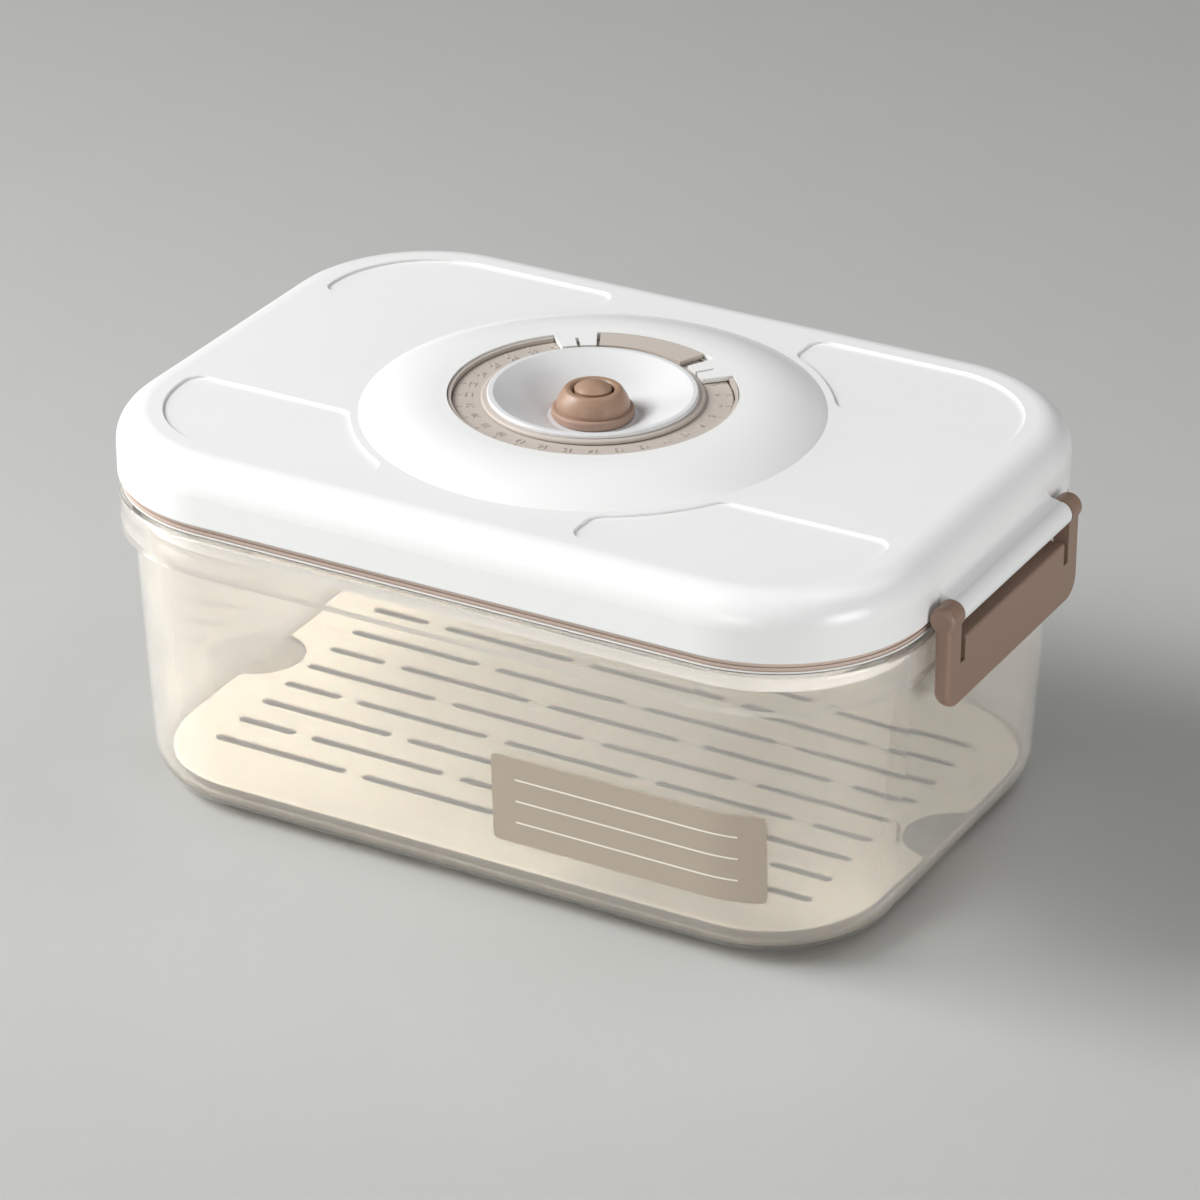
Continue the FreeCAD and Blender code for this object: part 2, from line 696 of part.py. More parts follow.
def make_lid_gasket():
    """Silicone ring round the plug: a band that shows under the lid, and a lip that meets the tub's rim."""
    band_bottom = lid_bottom - dim.gasket_band
    body = new_body("gasket_body")
    outline = Drawing(body, "gasket_band_outline", offset=band_bottom)
    extrude("Pad", body, outline.rounded_rectangle(dim.gasket_inset), dim.gasket_band)
    round_edges(body, dim.gasket_round, at_height(band_bottom))
    for share in (1, 2):
        level = band_bottom + dim.gasket_band * share / 3 + dim.gasket_groove / 2
        groove = Drawing(body, f"gasket_groove_{share}", offset=level)
        groove.rounded_rectangle(dim.gasket_inset - dim.gasket_groove)
        groove.rounded_rectangle(dim.gasket_inset + dim.gasket_groove)
        extrude("Pocket", body, groove, dim.gasket_groove)
    lip = Drawing(body, "gasket_lip_outline", offset=band_bottom)
    extrude("Pad", body, lip.rounded_rectangle(plug_inset - dim.gasket_lip_width),
            dim.shadow_gap - dim.gasket_lip_gap, reverse=True)
    extrude("Pocket", body, Drawing(body, "gasket_hole", offset=lid_bottom).rounded_rectangle(plug_inset),
            dim.gasket_band + dim.shadow_gap)
    nodes["lid_gasket"] = body


def make_dial():
    """Date dial: a liner well on the panel's drum, the ring that turns in it, its retainer and a bridge."""
    outer_wall = well_outside - dim.well_wall
    inner_wall = well_inside + dim.well_wall
    well_lip = dial_edge - dim.well_lip_drop
    well = turned("well_channel", [(well_inside, drum_top), (well_outside, drum_top), (well_outside, well_lip),
                                   (outer_wall, well_lip), (outer_wall, well_floor_top),
                                   (inner_wall, well_floor_top), (inner_wall, cover_under),
                                   (well_inside, cover_under)])
    notch_sweep = dim.tab_left_angle + dim.tab_sweep_angle - dim.tab_right_angle + 2 * dim.well_notch_angle
    notch = arc_block("well_notch", outer_wall - dim.well_wall, well_outside + dim.well_wall, cover_under,
                      well_lip - cover_under + CUT_MARGIN, dim.tab_right_angle - dim.well_notch_angle,
                      notch_sweep)
    nodes["dial_well"] = cut("dial_well_solid", well, notch)

    ring_inside = inner_wall + dim.ring_clearance
    ring_outside = outer_wall - dim.ring_clearance
    ring = turned("ring_body", [(ring_inside, ring_bottom), (ring_outside, ring_bottom),
                                (ring_outside, ring_top), (ring_inside, ring_top)])
    round_edges(ring, dim.ring_round, at_height(ring_top))
    nodes["date_ring"] = ring

    retainer_top = rim_under - dim.retainer_fit
    retainer_inside = dim.turret_radius + dim.retainer_fit
    retainer = turned("retainer_body", [(retainer_inside, cover_under), (dim.retainer_radius, cover_under),
                                        (dim.retainer_radius, retainer_top), (retainer_inside, retainer_top)])
    round_edges(retainer, dim.retainer_round, at_height(retainer_top))
    nodes["retaining_ring"] = retainer
    nodes["dial_bridge"] = arc_block("bridge_solid", dim.tab_inner_radius, well_outside, cover_under,
                                     dim.tab_thickness, dim.bridge_start_angle, dim.bridge_sweep_angle)


def make_valve():
    """Vacuum valve in the bowl: flap, collar, release button with its spring, and the seal on its stem."""
    hole = dim.neck_radius + dim.neck_fit
    flap = turned("flap_body", [(hole, bowl_floor_top), (dim.flap_radius, bowl_floor_top),
                                (dim.flap_radius, flap_top), (hole, flap_top)])
    flap_edge = dim.flap_radius.value - SAME_PLACE
    round_edges(flap, dim.flap_round, lambda point: math.hypot(point.x, point.y) > flap_edge)
    nodes["valve_flap"] = flap

    stem_hole = dim.stem_radius + dim.stem_fit
    barb = dim.neck_radius + dim.barb_reach
    barb_top = bowl_under - dim.neck_fit
    shoulder = flap_top + dim.collar_band
    collar = turned("collar_body", [(stem_hole, neck_bottom), (barb, neck_bottom), (barb, barb_top),
                                    (dim.neck_radius, barb_top), (dim.neck_radius, flap_top),
                                    (dim.collar_radius, flap_top), (dim.collar_radius, shoulder),
                                    (dim.collar_top_radius, collar_top), (dim.collar_opening, collar_top),
                                    (dim.collar_opening, collar_floor), (dim.neck_bore, collar_floor),
                                    (dim.neck_bore, neck_bottom + dim.neck_foot),
                                    (stem_hole, neck_bottom + dim.neck_foot)], arcs=(6,))
    round_edges(collar, dim.collar_round, at_height(collar_top))
    nodes["valve_collar"] = collar

    button_shoulder = button_bottom + dim.button_skirt
    nodes["release_button"] = turned(
        "button_body", [(0, stem_bottom), (dim.stem_radius, stem_bottom), (dim.stem_radius, button_bottom),
                        (dim.button_radius, button_bottom), (dim.button_radius, button_shoulder),
                        (0, button_shoulder + dim.button_dome)], arcs=(4,))
    seal_bottom = seal_top - dim.seal_height
    nodes["valve_seal"] = turned("seal_body", [(dim.stem_radius, seal_bottom), (dim.seal_radius, seal_bottom),
                                               (dim.seal_radius, seal_top), (dim.stem_radius, seal_top)])
    clip_bottom = seal_bottom - dim.clip_height
    nodes["seal_clip"] = turned("clip_body", [(dim.stem_radius, clip_bottom), (dim.clip_radius, clip_bottom),
                                              (dim.clip_radius, seal_bottom), (dim.stem_radius, seal_bottom)])
    spring = doc.addObject("Part::Feature", "spring_coil")
    low = neck_bottom.value + dim.neck_foot.value + dim.spring_seat_gap.value
    high = button_bottom.value - dim.spring_seat_gap.value
    spring.Shape = coil(dim.spring_radius.value, dim.spring_wire.value, dim.spring_turns.value, low, high)
    nodes["button_spring"] = spring


def coil(radius, wire, turns, low, high):
    """Wire coil between two levels, as one tube along tangent arcs, two to each step of the turn."""
    rise = (high - low - wire) / (2 * math.pi * turns)
    steps = round(turns * COIL_STEPS_PER_TURN)

    def point(angle):
        return FreeCAD.Vector(radius * math.cos(angle), radius * math.sin(angle), low + wire / 2 + rise * angle)

    def heading(angle):
        return FreeCAD.Vector(-radius * math.sin(angle), radius * math.cos(angle), rise).normalize()

    def arc_from(start, knee, end):
        middle = (start + end) / 2
        half = (end - start).Length / 2
        bend = math.atan2((knee - middle).Length, half)
        top = middle + (knee - middle).normalize() * (half * math.tan(bend / 2))
        return Part.Arc(start, top, end).toShape()

    arcs = []
    for step in range(steps):
        first, last = (2 * math.pi * turns * (step + k) / steps for k in (0, 1))
        start, end = point(first), point(last)
        ahead, behind = heading(first), heading(last)
        chord, spread = end - start, 2 * (1 - ahead.dot(behind))
        lean = chord.dot(ahead + behind)
        reach = (math.sqrt(lean ** 2 + spread * chord.dot(chord)) - lean) / spread
        knees = start + ahead * reach, end - behind * reach
        joint = (knees[0] + knees[1]) / 2
        arcs += [arc_from(start, knees[0], joint), arc_from(joint, knees[1], end)]
    section = Part.Wire(Part.Circle(point(0), heading(0), wire / 2).toShape())
    samples = [point(2 * math.pi * k / COIL_SAMPLES_PER_TURN) for k in range(round(turns * COIL_SAMPLES_PER_TURN))]
    half_turn = COIL_SAMPLES_PER_TURN // 2
    least = min((far - near).Length for k, near in enumerate(samples) for far in samples[k + half_turn:])
    print(f"least gap between the spring's turns: {least - wire:.2f} mm")
    return Part.Wire(arcs).makePipeShell([section], True, False)


def make_latch(name, side):
    """Latch: a flap hung from two ears on the hinge bar, with a hook that catches under the tub's rim band."""
    outer = side * (hinge_x + dim.latch_face_out)
    inner = side * (hinge_x + dim.latch_face_out - dim.latch_thickness)
    bottom = hinge_z - dim.latch_drop
    flap_top_z = hinge_z - dim.flap_top_drop
    notch_inside = ear_inside - dim.flap_notch_width
    notch_bottom = flap_top_z - dim.flap_notch_depth
    end, face, back = ear_outside.value, outer.value, inner.value

    def on_end(point):
        return abs(abs(point.y) - end) < SAME_PLACE

    def on_face(point):
        return abs(point.x - face) < SAME_PLACE

    def on_back(point):
        return abs(point.x - back) < SAME_PLACE

    body = new_body(f"{name}_body")
    right_half = [(ear_outside, bottom), (ear_outside, hinge_z), (ear_inside, hinge_z), (ear_inside, notch_bottom),
                  (notch_inside, notch_bottom), (notch_inside, flap_top_z)]
    left_half = [(-y, z) for y, z in reversed(right_half)]
    extrude("Pad", body, Drawing(body, f"{name}_flap", "YZ_Plane", offset=inner).outline(right_half + left_half),
            dim.latch_thickness, reverse=side < 0)
    round_edges(body, dim.latch_corner, lambda point: on_end(point) and at_height(bottom)(point))
    round_edges(body, dim.flap_edge_round, lambda point: on_face(point) and at_height(flap_top_z)(point))
    for way in (1, -1):
        knuckle = Drawing(body, f"{name}_knuckle_{way + 1}", "XZ_Plane", offset=way * ear_inside)
        extrude("Pad", body, knuckle.circle(dim.knuckle_radius, side * hinge_x, hinge_z), dim.ear_width,
                reverse=way < 0)
    below_knuckle = at_height_between(hinge_z - dim.knuckle_radius, hinge_z)
    round_edges(body, dim.neck_round, lambda point: below_knuckle(point) and (on_face(point) or on_back(point))
                and abs(point.y) > ear_inside.value - SAME_PLACE)
    corner_top = (bottom + dim.latch_corner).value
    round_edges(body, dim.latch_round, lambda point: on_end(point)
                or (point.z < corner_top + SAME_PLACE and (on_face(point) or on_back(point))))

    toe = Drawing(body, f"{name}_toe", "XZ_Plane").outline(
        [(inner, bottom), (inner + side * dim.latch_toe_width, bottom), (inner, bottom + dim.latch_toe_height)])
    extrude("Pocket", body, toe, 2 * ear_outside + CUT_MARGIN, both_ways=True)

    hook_top = rim_top - dim.rim_band - dim.hook_gap
    nose = side * (dim.lid_length / 2 - dim.rim_inset - dim.hook_reach)
    root = inner + side * (dim.latch_thickness / 2)
    extrude("Pad", body, Drawing(body, f"{name}_hook", "XZ_Plane").outline(
        [(nose, hook_top), (nose, hook_top - dim.hook_nose), (inner, hook_top - dim.hook_foot),
         (root, hook_top - dim.hook_foot), (root, hook_top)]), dim.hook_length, both_ways=True)
    for way in (1, -1):
        peg = Drawing(body, f"{name}_peg_{way + 1}", "XZ_Plane", offset=way * ear_inside)
        extrude("Pad", body, peg.circle(dim.peg_radius, side * hinge_x, hinge_z), dim.peg_length, reverse=way > 0)
    nodes[name] = body


make_tub()
make_drain_tray()
make_lid_cover()
make_lid_panel()
make_lid_gasket()
make_dial()
make_valve()
make_latch("latch_right", 1)
make_latch("latch_left", -1)
doc.recompute()

faulty = [item.Name for item in doc.Objects if {"Invalid", "Error"} & set(item.State)]
faulty += [name for name, node in nodes.items() if node.Shape.isNull() or not node.Shape.isValid()]
if faulty:
    raise RuntimeError("these came out faulty: " + ", ".join(faulty))

os.makedirs("parts", exist_ok=True)
for name, node in nodes.items():
    node.Label = name
    node.Shape.exportStep(f"parts/{name}.step")
    box = node.Shape.BoundBox
    print(f"{name}: {len(node.Shape.Solids)} solid, {node.Shape.Volume / 1000:.2f} cm3,"
          f" z {box.ZMin:.2f} to {box.ZMax:.2f}")
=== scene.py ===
import json
import math

import bpy
from mathutils import Matrix, Vector

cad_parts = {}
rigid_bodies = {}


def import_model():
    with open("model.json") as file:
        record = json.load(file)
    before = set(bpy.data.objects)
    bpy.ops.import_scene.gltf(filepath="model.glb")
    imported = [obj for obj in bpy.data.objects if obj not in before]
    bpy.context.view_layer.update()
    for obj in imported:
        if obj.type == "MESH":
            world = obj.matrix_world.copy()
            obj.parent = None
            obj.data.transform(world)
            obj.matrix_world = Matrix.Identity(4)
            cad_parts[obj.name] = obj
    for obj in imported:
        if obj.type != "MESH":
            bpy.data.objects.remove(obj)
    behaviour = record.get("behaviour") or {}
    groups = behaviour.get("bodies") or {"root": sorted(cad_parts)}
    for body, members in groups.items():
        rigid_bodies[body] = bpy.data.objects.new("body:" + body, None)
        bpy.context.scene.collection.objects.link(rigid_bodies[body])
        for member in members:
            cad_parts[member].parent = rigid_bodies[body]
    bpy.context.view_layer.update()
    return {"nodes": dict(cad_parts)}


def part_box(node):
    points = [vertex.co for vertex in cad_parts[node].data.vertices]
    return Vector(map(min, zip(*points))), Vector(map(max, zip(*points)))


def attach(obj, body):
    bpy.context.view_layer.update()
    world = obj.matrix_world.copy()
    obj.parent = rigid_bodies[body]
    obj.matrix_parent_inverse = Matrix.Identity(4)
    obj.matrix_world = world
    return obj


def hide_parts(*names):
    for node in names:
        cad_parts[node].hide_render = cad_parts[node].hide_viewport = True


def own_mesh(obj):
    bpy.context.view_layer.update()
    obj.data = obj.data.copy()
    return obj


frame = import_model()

# Tub: a clear, faintly smoky plastic box moulded in one shot, with drafted
# walls and a thick rim band. It stands straight on the table and everything
# else sits in it or on it.
TUB_TINT = (0.985, 0.945, 0.885, 1.0)
TUB_BASE_TINT_AND_SHADE = (0.89, 0.795, 0.675, 1.0)
TUB_BASE_FADE = (0.003, 0.013)
TUB_CLEARNESS = 0.82
TUB_IOR = 1.18
TUB_ROUGHNESS = 0.035
TUB_LIGHT_LET_IN = 0.98
TUB_MILKINESS = 0.4
TUB_MILK_RADIUS = (1.0, 0.92, 0.8)
TUB_MILK_DEPTH = 0.012
TUB_COAT_ROUGHNESS = 0.05
SKIN_DRIFT_SCALE = 28.0
SKIN_DRIFT_DETAIL = 3.0
SKIN_GRAIN_DETAIL = 2.0
SKIN_BUMP_HEIGHT = 0.0002


def add_node(tree, kind, **settings):
    node = tree.nodes.new(kind)
    for name, value in settings.items():
        setattr(node, name, value)
    return node


def add_math(tree, operation, first, second):
    node = add_node(tree, "ShaderNodeMath", operation=operation)
    for socket, value in zip(node.inputs, (first, second)):
        if isinstance(value, (int, float)):
            socket.default_value = value
        else:
            tree.links.new(value, socket)
    return node.outputs[0]


def moulded_skin_group():
    """Fine grain, with slow drift of colour and roughness, of a moulded surface."""
    tree = bpy.data.node_groups.new("moulded_skin", "ShaderNodeTree")
    face = tree.interface
    face.new_socket("Colour", in_out="INPUT", socket_type="NodeSocketColor")
    for name in ("Roughness", "Drift", "Grain Size", "Grain Depth"):
        face.new_socket(name, in_out="INPUT", socket_type="NodeSocketFloat")
    face.new_socket("Colour", in_out="OUTPUT", socket_type="NodeSocketColor")
    face.new_socket("Roughness", in_out="OUTPUT", socket_type="NodeSocketFloat")
    face.new_socket("Normal", in_out="OUTPUT", socket_type="NodeSocketVector")
    inside = add_node(tree, "NodeGroupInput")
    outside = add_node(tree, "NodeGroupOutput")
    place = add_node(tree, "ShaderNodeTexCoord")
    drift = add_node(tree, "ShaderNodeTexNoise")
    drift.inputs["Scale"].default_value = SKIN_DRIFT_SCALE
    drift.inputs["Detail"].default_value = SKIN_DRIFT_DETAIL
    tree.links.new(place.outputs["Object"], drift.inputs["Vector"])
    grain = add_node(tree, "ShaderNodeTexNoise")
    grain.inputs["Detail"].default_value = SKIN_GRAIN_DETAIL
    tree.links.new(place.outputs["Object"], grain.inputs["Vector"])
    grain_scale = add_math(tree, "DIVIDE", 1.0, inside.outputs["Grain Size"])
    tree.links.new(grain_scale, grain.inputs["Scale"])
    centred = add_math(tree, "SUBTRACT", drift.outputs["Fac"], 0.5)
    swing = add_math(tree, "MULTIPLY", centred, inside.outputs["Drift"])
    gain = add_math(tree, "ADD", swing, 1.0)
    shaded = add_node(tree, "ShaderNodeVectorMath", operation="SCALE")
    tree.links.new(inside.outputs["Colour"], shaded.inputs["Vector"])
    tree.links.new(gain, shaded.inputs["Scale"])
    tree.links.new(shaded.outputs["Vector"], outside.inputs["Colour"])
    rough = add_math(tree, "MULTIPLY", inside.outputs["Roughness"], gain)
    tree.links.new(rough, outside.inputs["Roughness"])
    bump = add_node(tree, "ShaderNodeBump")
    bump.inputs["Distance"].default_value = SKIN_BUMP_HEIGHT
    tree.links.new(inside.outputs["Grain Depth"], bump.inputs["Strength"])
    tree.links.new(grain.outputs["Fac"], bump.inputs["Height"])
    tree.links.new(bump.outputs["Normal"], outside.inputs["Normal"])
    return tree


moulded_skin = moulded_skin_group()


def shader_of(finish):
    return finish.node_tree.nodes["Principled BSDF"]


def moulded_finish(name, colour, roughness, drift, grain_size, grain_depth):
    """A material with the moulded skin on its colour, roughness and normal."""
    finish = bpy.data.materials.new(name)
    finish.use_nodes = True
    tree = finish.node_tree
    shader = shader_of(finish)
    skin = add_node(tree, "ShaderNodeGroup", node_tree=moulded_skin, name="skin")
    skin.inputs["Colour"].default_value = colour
    skin.inputs["Roughness"].default_value = roughness
    skin.inputs["Drift"].default_value = drift
    skin.inputs["Grain Size"].default_value = grain_size
    skin.inputs["Grain Depth"].default_value = grain_depth
    tree.links.new(skin.outputs["Colour"], shader.inputs["Base Color"])
    tree.links.new(skin.outputs["Roughness"], shader.inputs["Roughness"])
    tree.links.new(skin.outputs["Normal"], shader.inputs["Normal"])
    return finish


def height_share(tree, low, high):
    """Nought below one height on the piece and one above another."""
    place = add_node(tree, "ShaderNodeTexCoord")
    axes = add_node(tree, "ShaderNodeSeparateXYZ")
    tree.links.new(place.outputs["Object"], axes.inputs["Vector"])
    rise = add_node(tree, "ShaderNodeMapRange")
    rise.inputs["From Min"].default_value = low
    rise.inputs["From Max"].default_value = high
    tree.links.new(axes.outputs["Z"], rise.inputs["Value"])
    return rise.outputs["Result"]


def colour_by_height(finish, stops):
    """Gives a finish the colours of (height, colour) stops, from low to high."""
    low, high = stops[0][0], stops[-1][0]
    tree = finish.node_tree
    ramp = add_node(tree, "ShaderNodeValToRGB")
    tree.links.new(height_share(tree, low, high), ramp.inputs["Fac"])
    bands = ramp.color_ramp.elements
    while len(bands) < len(stops):
        bands.new(1.0)
    for band, (height, colour) in zip(bands, stops):
        band.position = (height - low) / (high - low)
        band.color = colour
    tree.links.new(ramp.outputs["Color"], tree.nodes["skin"].inputs["Colour"])


def dress(node_name, finish):
    for material_slot in frame["nodes"][node_name].material_slots:
        material_slot.material = finish


tub_finish = moulded_finish(
    "tub_clear_plastic", TUB_TINT, TUB_ROUGHNESS,
    drift=0.05, grain_size=0.0015, grain_depth=0.01,
)
tub_shader = shader_of(tub_finish)
tub_shader.inputs["Transmission Weight"].default_value = TUB_CLEARNESS
tub_shader.inputs["IOR"].default_value = TUB_IOR
tub_shader.inputs["Subsurface Weight"].default_value = TUB_MILKINESS
tub_shader.inputs["Subsurface Radius"].default_value = TUB_MILK_RADIUS
tub_shader.inputs["Subsurface Scale"].default_value = TUB_MILK_DEPTH
tub_shader.inputs["Coat Weight"].default_value = 1.0
tub_shader.inputs["Coat Roughness"].default_value = TUB_COAT_ROUGHNESS
tub_tree = tub_finish.node_tree
ray_kind = add_node(tub_tree, "ShaderNodeLightPath")
base_low, base_high = TUB_BASE_FADE
clear_wall = height_share(tub_tree, base_low, base_high)
clear_share = add_math(tub_tree, "MULTIPLY", clear_wall, TUB_LIGHT_LET_IN)
let_in = add_math(
    tub_tree, "MULTIPLY", ray_kind.outputs["Is Shadow Ray"], clear_share
)
held_back = add_math(tub_tree, "SUBTRACT", 1.0, let_in)
tub_tree.links.new(held_back, tub_shader.inputs["Alpha"])
# Towards its foot the tub is browner and darker: partly the deeper tint of its
# thick base, partly painted shade under the tray and where it stands on the table.
colour_by_height(tub_finish, [
    (base_low, TUB_BASE_TINT_AND_SHADE),
    (base_high, TUB_TINT),
])
dress("tub", tub_finish)

# Write-on panel: a thin taupe print with rounded corners and three pale ruled
# lines, bare for a handwritten note. It lies on the tub's front wall and
# follows it towards the corner.
PANEL_LEFT = 0.0145
PANEL_RIGHT = 0.1041
PANEL_FOOT = 0.0219
PANEL_HEAD = 0.0515
PANEL_CORNER = 0.0018
PANEL_THICKNESS = 0.0002
PANEL_LIFT = 0.00002
PRINT_STRIP = 0.0025
PRINT_START = 0.2
PRINT_SMOOTH_ANGLE = math.radians(30.0)
CORNER_STEPS = 8
PANEL_TAUPE = (0.47, 0.395, 0.315, 1.0)
RULE_CREAM = (0.90, 0.86, 0.76, 1.0)
RULE_WIDTH = 0.0005
RULE_CORNER = RULE_WIDTH * 0.45
RULE_LIFT = PANEL_THICKNESS + 0.00003
RULE_THICKNESS = PANEL_THICKNESS * 0.5
RULE_INSET = 0.008
RULE_COUNT = 3


def clear_selection():
    if bpy.context.object and bpy.context.object.mode != "OBJECT":
        bpy.ops.object.mode_set(mode="OBJECT")
    bpy.ops.object.select_all(action="DESELECT")


def select_only(piece):
    clear_selection()
    piece.select_set(True)
    bpy.context.view_layer.objects.active = piece


def settle(piece):
    """Moves the object's place and turn into its mesh."""
    select_only(piece)
    bpy.ops.object.transform_apply(location=True, rotation=True, scale=True)


def rounded_outline(name, width, height, corner):
    """A flat face on X and Y with rounded corners."""
    clear_selection()
    bpy.ops.mesh.primitive_plane_add(size=1.0)
    outline = bpy.context.object
    outline.name = name
    outline.scale = (width, height, 1.0)
    settle(outline)
    bpy.ops.object.mode_set(mode="EDIT")
    bpy.ops.mesh.select_all(action="SELECT")
    bpy.ops.mesh.bevel(offset=corner, segments=CORNER_STEPS, affect="VERTICES")
    bpy.ops.object.mode_set(mode="OBJECT")
    return outline


def apply_modifier(piece, kind, **settings):
    select_only(piece)
    bpy.ops.object.modifier_add(type=kind)
    modifier = piece.modifiers[-1]
    for name, value in settings.items():
        setattr(modifier, name, value)
    bpy.ops.object.modifier_apply(modifier=modifier.name)


def print_on_wall(name, width, height, corner, x, z, lift, thickness):
    """A thin printed patch that follows the front wall round towards its corner."""
    patch = rounded_outline(name, width, height, corner)
    bpy.ops.object.mode_set(mode="EDIT")
    strips = math.ceil(width / PRINT_STRIP)
    for strip in range(1, strips):
        bpy.ops.mesh.select_all(action="SELECT")
        bpy.ops.mesh.bisect(
            plane_co=(width * (strip / strips - 0.5), 0.0, 0.0),
            plane_no=(1.0, 0.0, 0.0),
        )
    bpy.ops.object.mode_set(mode="OBJECT")
    patch.matrix_world = (
        Matrix.Translation((x, -PRINT_START, z))
        @ Matrix.Rotation(math.pi / 2.0, 4, "X")
    )
    settle(patch)
    apply_modifier(
        patch, "SHRINKWRAP", target=frame["nodes"]["tub"], wrap_method="PROJECT",
        use_project_y=True,
        use_positive_direction=True, use_negative_direction=False,
        wrap_mode="ABOVE_SURFACE", offset=lift,
    )
    apply_modifier(patch, "SOLIDIFY", thickness=thickness, offset=1.0)
    bpy.ops.object.shade_smooth_by_angle(angle=PRINT_SMOOTH_ANGLE)
    return patch


panel_width = PANEL_RIGHT - PANEL_LEFT
panel_height = PANEL_HEAD - PANEL_FOOT
panel_x = (PANEL_LEFT + PANEL_RIGHT) / 2.0
panel_z = (PANEL_FOOT + PANEL_HEAD) / 2.0
write_panel = print_on_wall(
    "write_panel", panel_width, panel_height, PANEL_CORNER,
    panel_x, panel_z, PANEL_LIFT, PANEL_THICKNESS,
)
panel_finish = moulded_finish(
    "panel_taupe_print", PANEL_TAUPE,
    roughness=0.42, drift=0.06, grain_size=0.0006, grain_depth=0.05,
)
write_panel.data.materials.append(panel_finish)
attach(write_panel, "tub")

rule_finish = moulded_finish(
    "rule_cream_ink", RULE_CREAM,
    roughness=0.5, drift=0.04, grain_size=0.0004, grain_depth=0.05,
)
for index in range(RULE_COUNT):
    rule_z = PANEL_FOOT + panel_height * (index + 1) / (RULE_COUNT + 1.0)
    rule = print_on_wall(
        "write_rule_%d" % (index + 1),
        panel_width - 2.0 * RULE_INSET, RULE_WIDTH, RULE_CORNER,
        panel_x, rule_z, RULE_LIFT, RULE_THICKNESS,
    )
    rule.data.materials.append(rule_finish)
    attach(rule, "tub")

# Drain tray: a moulded, frosted beige plate with slots, loose in the tub on a
# low leg wall and lifted out by the half-round notch at each end. Below its
# top face, on the slot walls and its sides, it is painted dark as shade.
TRAY_BEIGE = (0.64, 0.60, 0.50, 1.0)
TRAY_PAINTED_SHADE = (0.05, 0.038, 0.025, 1.0)
TRAY_SHADE_DEPTH = 0.0009
TRAY_TOP_DEPTH = 0.0003
TRAY_MILKINESS = 0.2
TRAY_MILK_DEPTH = 0.002
tray_finish = moulded_finish(
    "tray_frosted_plastic", TRAY_BEIGE,
    roughness=0.48, drift=0.06, grain_size=0.0008, grain_depth=0.12,
)
tray_shader = shader_of(tray_finish)
tray_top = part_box("drain_tray")[1].z
# Painted shade: nearly black on the slot walls and sides below the top face, beige
# on top.
colour_by_height(tray_finish, [
    (tray_top - TRAY_SHADE_DEPTH, TRAY_PAINTED_SHADE),
    (tray_top - TRAY_TOP_DEPTH, TRAY_BEIGE),
])
tray_shader.inputs["Subsurface Weight"].default_value = TRAY_MILKINESS
tray_shader.inputs["Subsurface Scale"].default_value = TRAY_MILK_DEPTH
dress("drain_tray", tray_finish)

# Gasket: a soft brown silicone ring pressed round the lid panel's plug. Between
# the lid and the tub's rim it shows as a brown band over a painted highlight
# line, with a painted shadow line below for the gap to the rim.
GASKET_BROWN = (0.60, 0.475, 0.405, 1.0)
GASKET_PAINTED_HIGHLIGHT = (0.92, 0.90, 0.86, 1.0)
GASKET_PAINTED_GAP_SHADOW = (0.012, 0.01, 0.008, 1.0)
GAP_SHADOW_END = 0.0014
HIGHLIGHT_START = 0.0015
HIGHLIGHT_END = 0.0020
BROWN_START = 0.0021
gasket_finish = moulded_finish(
    "gasket_brown_silicone", GASKET_BROWN,
    roughness=0.5, drift=0.08, grain_size=0.0006, grain_depth=0.1,
)
rim_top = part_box("tub")[1].z
# Painted shadow for the gap just above the rim, then a painted highlight line, then
# the brown.
colour_by_height(gasket_finish, [
    (rim_top + GAP_SHADOW_END, GASKET_PAINTED_GAP_SHADOW),
    (rim_top + HIGHLIGHT_START, GASKET_PAINTED_HIGHLIGHT),
    (rim_top + HIGHLIGHT_END, GASKET_PAINTED_HIGHLIGHT),
    (rim_top + BROWN_START, GASKET_BROWN),
])
dress("lid_gasket", gasket_finish)

# Lid: a moulded, glossy white shell with four shallow pads and a raised round
# middle, over a white inner panel whose middle is the conical bowl of the
# valve.
LID_WHITE = (0.91, 0.917, 0.905, 1.0)
BOWL_WHITE = (0.79, 0.79, 0.795, 1.0)
lid_finish = moulded_finish(
    "lid_white_plastic", LID_WHITE,
    roughness=0.26, drift=0.03, grain_size=0.0012, grain_depth=0.02,
)
dress("lid_cover", lid_finish)
bowl_finish = moulded_finish(
    "bowl_white_plastic", BOWL_WHITE,
    roughness=0.3, drift=0.03, grain_size=0.001, grain_depth=0.03,
)
dress("lid_panel", bowl_finish)

# Date dial: a moulded taupe ring with raised day numbers and ticks, which turns
# round the bowl in a taupe liner. A thin bead ring holds it, and a plain arc
# lies between the two index tabs.
DIAL_TAUPE = (0.60, 0.535, 0.48, 1.0)
NUMBER_COUNT = 31
NUMBER_SIZE = 0.0034
NUMBER_RADIUS = 0.0379
NUMBER_RAISE = 0.00022
NUMBER_CURVE_STEPS = 3
TICK_LENGTH = 0.0018
TICK_WIDTH = 0.00045
TICK_CORNER = TICK_WIDTH * 0.4
TICK_RADIUS = 0.0412
dial_finish = moulded_finish(
    "dial_taupe_plastic", DIAL_TAUPE,
    roughness=0.42, drift=0.08, grain_size=0.0007, grain_depth=0.12,
)
for dial_node in ("dial_well", "date_ring", "retaining_ring", "dial_bridge"):
    dress(dial_node, dial_finish)
ring_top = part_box("date_ring")[1].z


